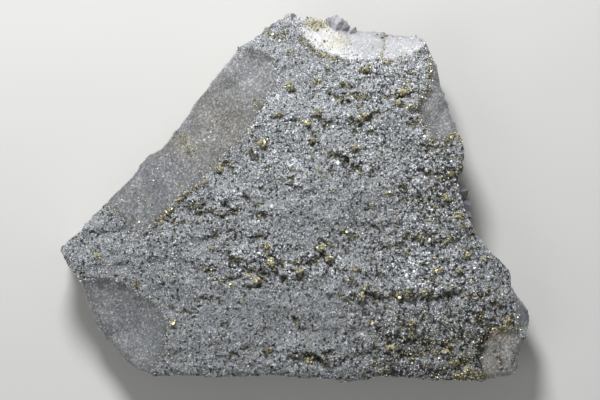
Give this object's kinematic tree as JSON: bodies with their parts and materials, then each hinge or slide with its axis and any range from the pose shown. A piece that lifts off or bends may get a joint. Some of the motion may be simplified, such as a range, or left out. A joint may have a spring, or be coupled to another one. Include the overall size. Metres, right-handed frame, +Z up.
{
  "type": "quartz with chalcopyrite",
  "caption": "Flat mineral specimen lying on its back: a sparkling drusy quartz crust with ledges, brassy chalcopyrite grains, smooth breaks at the rim and glassy crystals at the edge.",
  "frame": {"origin": "on the surface that the plate lies on, under the middle of its bounding box", "axes": "+Z up, out of the crystal crust; +X to the right and +Y away, as the crust is seen from above with its pointed corner to the left"},
  "size_m": [0.1504, 0.1181, 0.0291],
  "materials": {
    "drusy_quartz": "sparkling grey crystal crust with brass-yellow chalcopyrite grains, over smooth sugary grey and white quartz where it is broken"
  },
  "bodies": {
    "root": {"quartz_plate": "drusy_quartz"}
  },
  "joints": []
}
